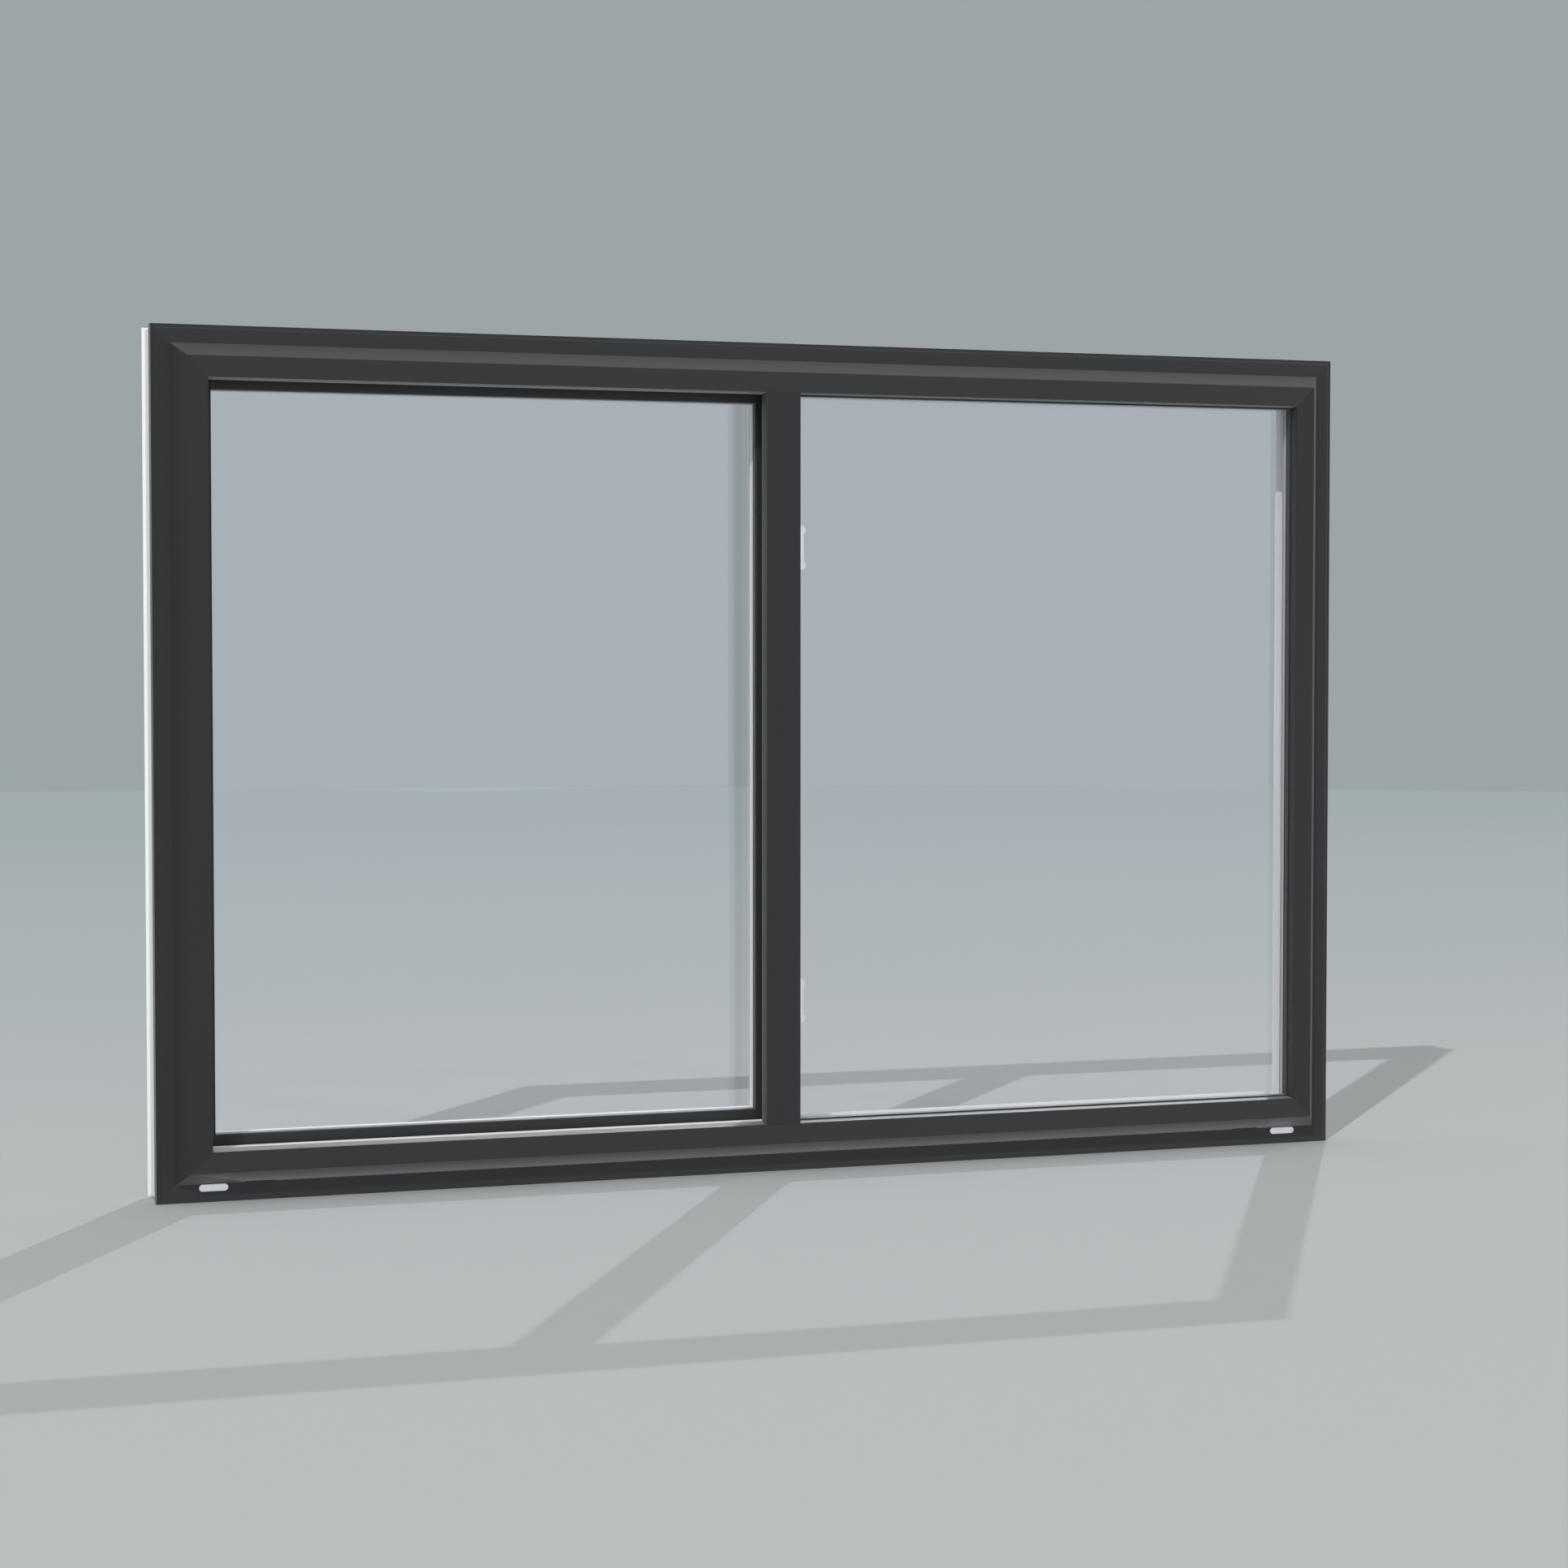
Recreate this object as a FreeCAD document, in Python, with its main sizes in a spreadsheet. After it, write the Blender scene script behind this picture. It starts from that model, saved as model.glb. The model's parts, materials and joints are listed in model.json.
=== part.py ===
# A horizontal sliding window with a fixed light on the right and a sash on the left that slides on
# rollers behind it. Seen from outside, X runs to the right, Y into the house and Z up. The origin is
# on the underside of the sill, at mid-width. In the sections below the first figure is a depth from the
# front of the outer band into the house, and the second a height from an outer edge towards the glass.
import FreeCAD, Part
import math
import os
import re

import Sketcher

# The driving dimensions, in millimetres.
SIZES = {
    # Whole frame
    "overall_width": 1828.8,
    "overall_height": 1219.2,
    # Dark moulding round the outside
    "rim_width": 4.5,
    "rim_step": 1.5,
    "band_width": 25.7,
    "cove_run": 18.8,
    "face_proud": 28.5,
    "face_width": 29.3,
    "draft": 2.0,
    "draft_depth": 15.0,
    "stop_step": 2.4,
    "stop_back": 1.0,
    "moulding_return": 19.0,
    "moulding_root": 45.0,
    "notch_length": 42.0,
    "notch_rise": 1.8,
    "notch_inset": 144.0,
    # White frame behind the moulding
    "body_inset": 4.0,
    "flange_thick": 4.0,
    "pocket_floor": 62.0,
    "rib_front": 24.0,
    "rib_thick": 6.0,
    "sill_rib": 74.0,
    "upper_rib": 66.0,
    "sill_floor": 44.0,
    "head_floor": 40.0,
    "jamb_floor": 34.0,
    "leg_thick": 5.0,
    "sill_leg": 72.0,
    "upper_leg": 56.0,
    "leg_bevel": 2.0,
    "cover_fall": 2.0,
    # Fixed meeting stile in the middle of the frame
    "stile_face": 52.0,
    "stile_lip": 3.0,
    "stile_hook": 16.0,
    # Sealed glass units
    "pane_thick": 3.0,
    "fixed_air": 13.0,
    "sash_air": 10.0,
    "glass_clear": 3.0,
    "spacer_width": 10.0,
    "bead_set": 1.8,
    # Sash
    "running_gap": 5.0,
    "sash_thick": 35.0,
    "cap_thick": 12.0,
    "cap_bevel": 1.5,
    "sash_rebate": 12.0,
    "sash_left": 40.0,
    "sash_lap": 46.0,
    "sash_bottom": 55.0,
    "sash_top": 46.0,
    "left_stile": 49.0,
    "meeting_stile": 68.0,
    "bottom_rail": 34.6,
    "top_rail": 40.5,
    "core_bevel": 2.0,
    "bead_lip": 3.0,
    "bead_fall": 5.0,
    # Rollers and their track
    "track_height": 6.0,
    "track_width": 4.0,
    "track_end_gap": 4.0,
    "roller_inset": 170.0,
    "roller_lift": 0.3,
    "wheel_radius": 9.0,
    "wheel_width": 7.6,
    "wheel_flange": 1.5,
    "axle_radius": 2.0,
    "axle_play": 0.1,
    "housing_length": 60.0,
    "housing_width": 14.0,
    "housing_height": 16.0,
    "wheel_room": 1.5,
    # Hardware
    "weep_length": 41.0,
    "weep_height": 10.0,
    "weep_proud": 2.0,
    "weep_rim": 1.5,
    "weep_recess": 0.7,
    "weep_inset": 79.0,
    "weep_rise": 20.5,
    "lower_lock_rise": 242.5,
    "upper_lock_rise": 923.0,
    "case_length": 67.0,
    "case_width": 22.0,
    "case_depth": 10.0,
    "case_edge": 3.0,
    "grip_length": 67.0,
    "grip_width": 15.0,
    "grip_reach": 33.0,
    "grip_depth": 8.0,
    "grip_waist": 3.0,
    "hub_radius": 8.0,
    "pull_length": 260.0,
    "pull_depth": 15.0,
    "pull_wall": 4.0,
    "pull_lip": 4.0,
    "pull_edge": 1.5,
}

# Depths that several sections share, front to back.
DRAFT_END = "(draft_depth - face_proud)"
RIB_BACK = "(rib_front + rib_thick)"
SASH_FRONT = f"({RIB_BACK} + running_gap)"
CAP_BACK = f"({SASH_FRONT} + cap_thick)"
SASH_BACK = f"({SASH_FRONT} + sash_thick)"
LEG_FACE = f"({SASH_BACK} + running_gap)"
FRAME_BACK = f"({LEG_FACE} + leg_thick)"
FLANGE_FRONT = f"({FRAME_BACK} - flange_thick)"
SEAT_DEPTH = f"((moulding_return + {FLANGE_FRONT}) / 2)"
TRACK_DEPTH = f"(({CAP_BACK} + {SASH_BACK}) / 2)"
FIXED_INNER = "(fixed_air + pane_thick - stop_back)"
FIXED_BACK = f"({FIXED_INNER} + pane_thick)"
SASH_INNER = f"({CAP_BACK} + pane_thick + sash_air)"
SASH_GLASS_BACK = f"({SASH_INNER} + pane_thick)"

# Heights from the outer edge, and places across the frame.
FACE_EDGE = "(band_width + cove_run + face_width)"
SIGHT = f"({FACE_EDGE} + draft)"
REBATE = f"({SIGHT} - pocket_floor)"
STILE_HALF = "(stile_face / 2 + draft)"
STILE_LEFT = f"(stile_hook - {STILE_HALF})"
STILE_POCKET = f"({STILE_HALF} - {REBATE})"
FRAME_RIGHT = "(overall_width / 2)"
POCKET_LEFT = f"(pocket_floor - {FRAME_RIGHT})"
POCKET_RIGHT = f"({FRAME_RIGHT} - pocket_floor)"
POCKET_TOP = "(overall_height - pocket_floor)"
SASH_LEFT = f"(sash_left - {FRAME_RIGHT})"
SASH_TOP = "(overall_height - sash_top)"
SASH_MID = f"((sash_bottom + {SASH_TOP}) / 2)"
SASH_TALL = f"({SASH_TOP} - sash_bottom)"
SASH_POCKET_LEFT = f"({SASH_LEFT} + left_stile - sash_rebate)"
SASH_POCKET_RIGHT = "(sash_lap - meeting_stile + sash_rebate)"
SASH_POCKET_BOTTOM = "(sash_bottom + bottom_rail - sash_rebate)"
SASH_POCKET_TOP = f"({SASH_TOP} - top_rail + sash_rebate)"
TRACK_TOP = "(sill_floor + track_height)"
AXLE_RISE = f"({TRACK_TOP} + roller_lift + wheel_radius)"

# Turns about the depth axis that lay a section's height along Z, X and their opposites.
UPWARD, TOWARDS_RIGHT, DOWNWARD, TOWARDS_LEFT = 0, 90, 180, -90
QUARTER_TURN = math.pi / 2

doc = FreeCAD.newDocument("SlidingWindow")
sheet = doc.addObject("Spreadsheet::Sheet", "Sizes")
for row, (alias, size) in enumerate(SIZES.items(), start=1):
    sheet.set(f"A{row}", alias)
    sheet.set(f"B{row}", str(size))
    sheet.setAlias(f"B{row}", alias)
doc.recompute()

subparts = []


def formula(text):
    """The text with each size named as a cell of the sheet."""
    return re.sub(r"\b[a-z]\w*", lambda word: f"Sizes.{word.group()}", text)


def value(text):
    """What a formula comes to now, as a plain number of millimetres."""
    return float(sheet.evalExpression(formula(text)))


def bind(item, **formulas):
    """Ties properties to the sheet; a double underscore stands for the dot in a property's path."""
    for name, text in formulas.items():
        item.setExpression(name.replace("__", "."), formula(text))


def place(item, x, y, z, turn=UPWARD):
    """Sets a sub-part's place: depth from the band's front, height from the frame's lower edge."""
    item.Placement = FreeCAD.Placement(
        FreeCAD.Vector(), FreeCAD.Rotation(FreeCAD.Vector(0, 1, 0), turn))
    bind(item, Placement__Base__x=x, Placement__Base__y=f"{y} - {SEAT_DEPTH}",
         Placement__Base__z=f"{z} - body_inset")


def add_body(label):
    body = doc.addObject("PartDesign::Body", label)
    body.Label = label
    subparts.append(body)
    return body


def add_sketch(body, name, plane):
    sketch = body.newObject("Sketcher::SketchObject", f"{body.Name}_{name}")
    origin_plane = next(item for item in body.Origin.OriginFeatures if item.Role == plane)
    sketch.AttachmentSupport = (origin_plane, [""])
    sketch.MapMode = "FlatFace"
    return sketch


def hold_point(sketch, geometry, end, across, up):
    """Fixes one point of a sketch at two formulas from the sketch's origin."""
    for kind, text in (("DistanceX", across), ("DistanceY", up)):
        index = sketch.addConstraint(Sketcher.Constraint(kind, -1, 1, geometry, end, value(text)))
        sketch.setExpression(f"Constraints[{index}]", formula(text))


def draw_outline(sketch, points):
    """A closed outline of straight lines through points that are pairs of formulas."""
    spots = [FreeCAD.Vector(value(across), value(up), 0) for across, up in points]
    first = sketch.GeometryCount
    count = len(points)
    for i in range(count):
        sketch.addGeometry(Part.LineSegment(spots[i], spots[(i + 1) % count]), False)
    for i in range(count):
        following = first + (i + 1) % count
        sketch.addConstraint(Sketcher.Constraint("Coincident", first + i, 2, following, 1))
        hold_point(sketch, first + i, 1, *points[i])


def add_pad(body, sketch, length, both_ways=False):
    pad = body.newObject("PartDesign::Pad", f"{sketch.Name}_pad")
    pad.Profile = sketch
    bind(pad, Length=length)
    pad.Midplane = both_ways
    sketch.Visibility = False
    return pad


def cut(body, sketch, depth=None):
    """Cuts a sketch to a depth along its normal or, with no depth, right through both ways."""
    before = body.Shape.Volume
    pocket = body.newObject("PartDesign::Pocket", f"{sketch.Name}_pocket")
    pocket.Profile = sketch
    if depth:
        pocket.Reversed = True
        bind(pocket, Length=depth)
    else:
        pocket.Type = "ThroughAll"
        pocket.Midplane = True
    doc.recompute()
    if not body.Shape.Volume < before:
        raise RuntimeError(f"{sketch.Name} cuts nothing")


def bar(label, section, length, x, y, z, turn):
    """A straight length of one section, square at both ends, centred on its place."""
    body = add_body(label)
    sketch = add_sketch(body, "section", "YZ_Plane")
    draw_outline(sketch, section)
    add_pad(body, sketch, length, both_ways=True)
    place(body, x, y, z, turn)
    doc.recompute()
    return body


def mitred_bar(label, section, length, reach, x, y, z, turn):
    """A bar whose ends are cut at 45 degrees, so that four of them close a frame."""
    body = bar(label, section, length, x, y, z, turn)
    sketch = add_sketch(body, "mitres", "XZ_Plane")
    for side in ("", "-"):
        end = f"{side}{length} / 2"
        inner = f"{side}({length} / 2 - {reach})"
        draw_outline(sketch, [(end, "0"), (end, reach), (inner, reach)])
    cut(body, sketch)
    return body


def mitred_ring(labels, sections, reach, left, right, bottom, top):
    """Head, sill, left and right bars round a rectangle, each with its own section."""
    mid_x, mid_z = f"({left} + {right}) / 2", f"({bottom} + {top}) / 2"
    wide, tall = f"({right} - {left})", f"({top} - {bottom})"
    sides = ((wide, mid_x, top, DOWNWARD), (wide, mid_x, bottom, UPWARD),
             (tall, left, mid_z, TOWARDS_RIGHT), (tall, right, mid_z, TOWARDS_LEFT))
    return [mitred_bar(label, section, length, reach, x, "0", z, turn)
            for label, section, (length, x, z, turn) in zip(labels, sections, sides)]


def box(label, left, right, front, back, bottom, top):
    """A plain slab between six formulas, in the frame's own directions."""
    slab = doc.addObject("Part::Box", label)
    slab.Label = label
    bind(slab, Length=f"{right} - {left}", Width=f"{back} - {front}", Height=f"{top} - {bottom}")
    place(slab, left, front, bottom)
    return slab


def draw_capsule(sketch, length, height):
    """A level outline with two round ends, centred on the sketch."""
    half, radius = f"(({length} - {height}) / 2)", f"({height} / 2)"
    centre, round_size = value(half), value(radius)
    ends = []
    for side, start in ((1, -QUARTER_TURN), (-1, QUARTER_TURN)):
        middle = FreeCAD.Vector(side * centre, 0, 0)
        circle = Part.Circle(middle, FreeCAD.Vector(0, 0, 1), round_size)
        arc = Part.ArcOfCircle(circle, start, start + 2 * QUARTER_TURN)
        ends.append(sketch.addGeometry(arc))
    for side in (1, -1):
        spots = [FreeCAD.Vector(side * end * centre, side * round_size, 0) for end in (1, -1)]
        ends.append(sketch.addGeometry(Part.LineSegment(*spots)))
    right, left, upper, lower = ends
    for one, one_end, other, other_end in ((right, 2, upper, 1), (upper, 2, left, 1),
                                           (left, 2, lower, 1), (lower, 2, right, 1)):
        sketch.addConstraint(Sketcher.Constraint("Tangent", one, one_end, other, other_end))
    hold_point(sketch, right, 3, half, "0")
    hold_point(sketch, left, 3, f"-{half}", "0")
    index = sketch.addConstraint(Sketcher.Constraint("Radius", right, round_size))
    sketch.setExpression(f"Constraints[{index}]", formula(radius))


def capsule(label, length, height, thick, x, y, z, turn=UPWARD):
    """A flat-backed cover with two round ends; y is its front and it is as thick as stated."""
    body = add_body(label)
    sketch = add_sketch(body, "outline", "XZ_Plane")
    draw_capsule(sketch, length, height)
    add_pad(body, sketch, thick)
    place(body, x, f"({y} + {thick})", z, turn)
    doc.recompute()
    return body


def exterior_moulding():
    section = [
        ("moulding_return", "0"),
        ("rim_step", "0"),
        ("rim_step", "rim_width"),
        ("0", "rim_width + rim_step"),
        ("0", "band_width"),
        ("-face_proud", "band_width + cove_run"),
        ("-face_proud", FACE_EDGE),
        (DRAFT_END, SIGHT),
        ("-stop_back", SIGHT),
        ("-stop_back", "moulding_root"),
        ("moulding_return", "moulding_root"),
    ]
    labels = ("head_moulding", "sill_moulding", "left_moulding", "right_moulding")
    bars = mitred_ring(
        labels, [section] * 4, SIGHT, f"-{FRAME_RIGHT}", FRAME_RIGHT, "0", "overall_height")
    cut_drain_notches(bars[labels.index("sill_moulding")])


def cut_drain_notches(sill):
    """Two shallow notches at the foot of the sill's slope, cut back to the plane of the band."""
    sketch = add_sketch(sill, "drain_notches", "XZ_Plane")
    bottom, top = "band_width", "band_width + notch_rise"
    for side in ("-", ""):
        middle = f"{side}({FRAME_RIGHT} - notch_inset)"
        left, right = f"{middle} - notch_length / 2", f"{middle} + notch_length / 2"
        draw_outline(sketch, [(left, bottom), (right, bottom), (right, top), (left, top)])
    cut(sill, sketch, "face_proud")


def frame_section(rib, floor, leg):
    """The white frame: glass pocket, rib, sash channel and the leg on the room side."""
    return [
        ("moulding_return", "body_inset"),
        ("moulding_return", "moulding_root"),
        ("-stop_back", "moulding_root"),
        ("-stop_back", "pocket_floor"),
        ("rib_front", "pocket_floor"),
        ("rib_front", rib),
        (RIB_BACK, rib),
        (RIB_BACK, floor),
        (LEG_FACE, floor),
        (LEG_FACE, leg),
        (f"{FRAME_BACK} - leg_bevel", leg),
        (FRAME_BACK, f"{leg} - leg_bevel"),
        (FRAME_BACK, "0"),
        (FLANGE_FRONT, "0"),
        (FLANGE_FRONT, "body_inset"),
    ]


def white_frame():
    head = frame_section("upper_rib", "head_floor", "upper_leg")
    sill = frame_section("sill_rib", "sill_floor", "sill_leg")
    jamb = frame_section("upper_rib", "jamb_floor", "upper_leg")
    sections = [head, sill, jamb, jamb]
    labels = ("frame_head", "frame_sill", "left_jamb", "right_jamb")
    past_the_ribs = "(sill_rib + upper_rib)"
    mitred_ring(labels, sections, past_the_ribs, f"-{FRAME_RIGHT}", FRAME_RIGHT, "0", "overall_height")


def cope(body, lower, upper):
    """Shapes both ends of an upright to the sections of the sill and the head that it meets."""
    sketch = add_sketch(body, "ends", "YZ_Plane")
    draw_outline(sketch, lower)
    draw_outline(sketch, [(depth, f"overall_height - {height}") for depth, height in upper])
    cut(body, sketch)


def fixed_stile():
    """The dark meeting stile, hooked over the sash's edge, and its back, which holds the fixed glass."""
    front = add_body("fixed_stile")
    plan = add_sketch(front, "plan", "XY_Plane")
    lip_back = f"({DRAFT_END} + stile_lip)"
    draw_outline(plan, [
        ("stile_face / 2", "-face_proud"),
        (STILE_HALF, DRAFT_END),
        (STILE_HALF, "-stop_back"),
        (STILE_LEFT, "-stop_back"),
        (STILE_LEFT, lip_back),
        (f"-{STILE_HALF}", lip_back),
        (f"-{STILE_HALF}", DRAFT_END),
        ("-stile_face / 2", "-face_proud"),
    ])
    add_pad(front, plan, "overall_height")
    place(front, "0", "0", "0")
    doc.recompute()
    end = [("-face_proud", "0"), ("-face_proud", FACE_EDGE), (DRAFT_END, SIGHT),
           ("-stop_back", SIGHT), ("-stop_back", "0")]
    cope(front, end, end)

    back = add_body("fixed_stile_back")
    plan = add_sketch(back, "plan", "XY_Plane")
    draw_outline(plan, [
        (STILE_LEFT, "-stop_back"),
        (STILE_POCKET, "-stop_back"),
        (STILE_POCKET, "rib_front"),
        (STILE_HALF, "rib_front"),
        (STILE_HALF, RIB_BACK),
        (STILE_LEFT, RIB_BACK),
    ])
    add_pad(back, plan, "overall_height")
    place(back, "0", "0", "0")
    doc.recompute()
    lower, upper = (
        [("-stop_back", "0"), ("-stop_back", "pocket_floor"), ("rib_front", "pocket_floor"),
         ("rib_front", rib), (RIB_BACK, rib), (RIB_BACK, "0")]
        for rib in ("sill_rib", "upper_rib"))
    cope(back, lower, upper)


def pocket_covers():
    """Strips that close the empty glass pocket round the sliding side, the lower one falling outwards."""
    mid_x = f"({POCKET_LEFT} + {STILE_LEFT}) / 2"
    wide = f"({STILE_LEFT} - {POCKET_LEFT})"

    def section(rib, fall):
        return [("-stop_back", "pocket_floor"), ("rib_front", "pocket_floor"),
                ("rib_front", rib), ("-stop_back", f"{rib} - {fall}")]

    bar("sill_cover", section("sill_rib", "cover_fall"), wide, mid_x, "0", "0", UPWARD)
    bar("head_cover", section("upper_rib", "0"), wide, mid_x, "0", "overall_height", DOWNWARD)
    tall = "(overall_height - sill_rib - upper_rib)"
    mid_z = "(overall_height + sill_rib - upper_rib) / 2"
    bar("jamb_cover", section("upper_rib", "0"), tall, f"-{FRAME_RIGHT}", "0", mid_z, TOWARDS_RIGHT)


def glass_unit(prefix, left, right, bottom, top, outer, air):
    """Two panes with a spacer between them, set clear of the pocket that holds them."""
    left, bottom = f"({left} + glass_clear)", f"({bottom} + glass_clear)"
    right, top = f"({right} - glass_clear)", f"({top} - glass_clear)"
    gap_front, gap_back = f"({outer} + pane_thick)", f"({outer} + pane_thick + {air})"
    for name, front in (("outer_pane", outer), ("inner_pane", gap_back)):
        pane = box(f"{prefix}_{name}", left, right, front, f"({front} + pane_thick)", bottom, top)
        subparts.append(pane)
    ring = box(f"{prefix}_spacer_blank", left, right, gap_front, gap_back, bottom, top)
    hole = box(f"{prefix}_spacer_hole", f"({left} + spacer_width)", f"({right} - spacer_width)",
               gap_front, gap_back, f"({bottom} + spacer_width)", f"({top} - spacer_width)")
    spacer = doc.addObject("Part::Cut", f"{prefix}_spacer")
    spacer.Label = f"{prefix}_spacer"
    spacer.Base, spacer.Tool = ring, hole
    subparts.append(spacer)


def glazing_beads(labels, front, back, reach, left, right, bottom, top):
    """Four snap-in strips on the room side of a glass unit, with a sloping face."""
    section = [(front, "0"), (front, reach), (f"{front} + bead_lip", reach),
               (back, f"{reach} - bead_fall"), (back, "0")]
    mitred_ring(labels, [section] * 4, reach, left, right, bottom, top)


def fixed_light():
    edges = (STILE_POCKET, POCKET_RIGHT, "pocket_floor", POCKET_TOP)
    glass_unit("fixed", *edges, "(0 - stop_back)", "fixed_air")
    labels = ("fixed_head_bead", "fixed_sill_bead", "fixed_stile_bead", "fixed_jamb_bead")
    glazing_beads(labels, FIXED_BACK, "rib_front", f"({REBATE} - bead_set)", *edges)


def glazing_stops():
    """Dark strips on the moulding and the stile that the fixed glass is set against."""
    section = [(DRAFT_END, "0"), (DRAFT_END, "stop_step"), ("-stop_back", "stop_step"), ("-stop_back", "0")]
    labels = ("fixed_head_stop", "fixed_sill_stop", "fixed_stile_stop", "fixed_jamb_stop")
    mitred_ring(labels, [section] * 4, "stop_step", STILE_HALF, f"({FRAME_RIGHT} - {SIGHT})", SIGHT,
                f"(overall_height - {SIGHT})")


def sash_sides():
    """For each side of the sash: name, width, outer edge, turn, and lengths of cap and core."""
    cap_left, cap_right = f"({SASH_LEFT} + left_stile)", "(sash_lap - meeting_stile)"
    cap_wide, cap_mid = f"({cap_right} - {cap_left})", f"({cap_right} + {cap_left}) / 2"
    core_wide = f"({SASH_POCKET_RIGHT} - {SASH_POCKET_LEFT})"
    core_mid = f"({SASH_POCKET_RIGHT} + {SASH_POCKET_LEFT}) / 2"
    return (
        ("top_rail", "top_rail", cap_wide, cap_mid, core_wide, core_mid, SASH_TOP, DOWNWARD),
        ("bottom_rail", "bottom_rail", cap_wide, cap_mid, core_wide, core_mid, "sash_bottom", UPWARD),
        ("left_stile", "left_stile", SASH_TALL, SASH_LEFT, SASH_TALL, SASH_LEFT, SASH_MID, TOWARDS_RIGHT),
        ("meeting_stile", "meeting_stile", SASH_TALL, "sash_lap", SASH_TALL, "sash_lap", SASH_MID,
         TOWARDS_LEFT),
    )


def sash_frame():
    """Rails between full-height stiles: a dark cap outside and a white core towards the room."""
    for name, width, cap_long, cap_x, core_long, core_x, z, turn in sash_sides():
        cap = [(SASH_FRONT, "0"), (SASH_FRONT, f"{width} - cap_bevel"),
               (f"{SASH_FRONT} + cap_bevel", width), (CAP_BACK, width), (CAP_BACK, "0")]
        bar(f"sash_{name}_cap", cap, cap_long, cap_x, "0", z, turn)
        wall = f"({width} - sash_rebate)"
        core = [(CAP_BACK, "0"), (CAP_BACK, wall), (SASH_BACK, wall),
                (SASH_BACK, "core_bevel"), (f"{SASH_BACK} - core_bevel", "0")]
        body = bar(f"sash_{name}", core, core_long, core_x, "0", z, turn)
        if name == "bottom_rail":
            cut_roller_pockets(body, core_long)


def cut_roller_pockets(rail, length):
    """Two slots in the underside of the bottom rail, one for each roller."""
    sketch = add_sketch(rail, "roller_slots", "XY_Plane")
    for side in (-1, 1):
        middle = f"({side} * ({length} / 2 - roller_inset))"
        left, right = f"{middle} - housing_length / 2", f"{middle} + housing_length / 2"
        front, back = f"{TRACK_DEPTH} - housing_width / 2", f"{TRACK_DEPTH} + housing_width / 2"
        draw_outline(sketch, [(left, front), (right, front), (right, back), (left, back)])
    cut(rail, sketch, "housing_height")


def roller(label, middle):
    """A grooved wheel on its axle, in a housing that fills the slot of the bottom rail."""
    front, back = f"({TRACK_DEPTH} - housing_width / 2)", f"({TRACK_DEPTH} + housing_width / 2)"
    top = "(sash_bottom + housing_height)"
    block = box(f"{label}_block", f"({middle} - housing_length / 2)", f"({middle} + housing_length / 2)",
                front, back, "sash_bottom", top)
    room = "(wheel_radius + wheel_flange + wheel_room)"
    half_room = "(wheel_width / 2 + axle_play)"
    slot = box(f"{label}_slot", f"({middle} - {room})", f"({middle} + {room})",
               f"({TRACK_DEPTH} - {half_room})", f"({TRACK_DEPTH} + {half_room})",
               "sash_bottom", f"({AXLE_RISE} + wheel_radius + wheel_flange + axle_play)")
    hole = doc.addObject("Part::Cylinder", f"{label}_hole")
    bind(hole, Radius="axle_radius + axle_play", Height="housing_width")
    lay_along_depth(hole, middle, front, AXLE_RISE)
    cutters = doc.addObject("Part::MultiFuse", f"{label}_cutters")
    cutters.Shapes = [slot, hole]
    housing = doc.addObject("Part::Cut", f"{label}_housing")
    housing.Label = f"{label}_housing"
    housing.Base, housing.Tool = block, cutters
    subparts.append(housing)

    wheel = add_body(f"{label}_wheel")
    sketch = add_sketch(wheel, "half", "XZ_Plane")
    rim = "(wheel_radius + wheel_flange)"
    groove = "(track_width / 2 + roller_lift)"
    draw_outline(sketch, [
        ("-housing_width / 2", "0"), ("housing_width / 2", "0"),
        ("housing_width / 2", "axle_radius"), ("wheel_width / 2", "axle_radius"),
        ("wheel_width / 2", rim), (groove, rim), (groove, "wheel_radius"),
        (f"-{groove}", "wheel_radius"), (f"-{groove}", rim), ("-wheel_width / 2", rim),
        ("-wheel_width / 2", "axle_radius"), ("-housing_width / 2", "axle_radius"),
    ])
    turning = wheel.newObject("PartDesign::Revolution", f"{label}_turning")
    turning.Profile = sketch
    turning.ReferenceAxis = (sketch, ["H_Axis"])
    turning.Angle = 360
    place(wheel, middle, TRACK_DEPTH, AXLE_RISE)
    wheel.Placement.Rotation = FreeCAD.Rotation(FreeCAD.Vector(0, 0, 1), 90)


def lay_along_depth(cylinder, x, y, z):
    """Turns a cylinder so that it runs from the place given into the house."""
    place(cylinder, x, y, z)
    cylinder.Placement.Rotation = FreeCAD.Rotation(FreeCAD.Vector(1, 0, 0), -90)


def sash_rollers():
    middle = f"(({SASH_POCKET_RIGHT} + {SASH_POCKET_LEFT}) / 2)"
    half = f"(({SASH_POCKET_RIGHT} - {SASH_POCKET_LEFT}) / 2 - roller_inset)"
    for label, side in (("left_roller", "-"), ("right_roller", "+")):
        roller(label, f"({middle} {side} {half})")
    end = f"({FRAME_RIGHT} - sill_floor - track_end_gap)"
    track = box("roller_track", f"(0 - {end})", end, f"({TRACK_DEPTH} - track_width / 2)",
                f"({TRACK_DEPTH} + track_width / 2)", "sill_floor", TRACK_TOP)
    subparts.append(track)


def sash_glass():
    edges = (SASH_POCKET_LEFT, SASH_POCKET_RIGHT, SASH_POCKET_BOTTOM, SASH_POCKET_TOP)
    glass_unit("sash", *edges, CAP_BACK, "sash_air")
    labels = ("sash_top_bead", "sash_bottom_bead", "sash_left_bead", "sash_meeting_bead")
    glazing_beads(labels, SASH_GLASS_BACK, SASH_BACK, "sash_rebate", *edges)


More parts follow.
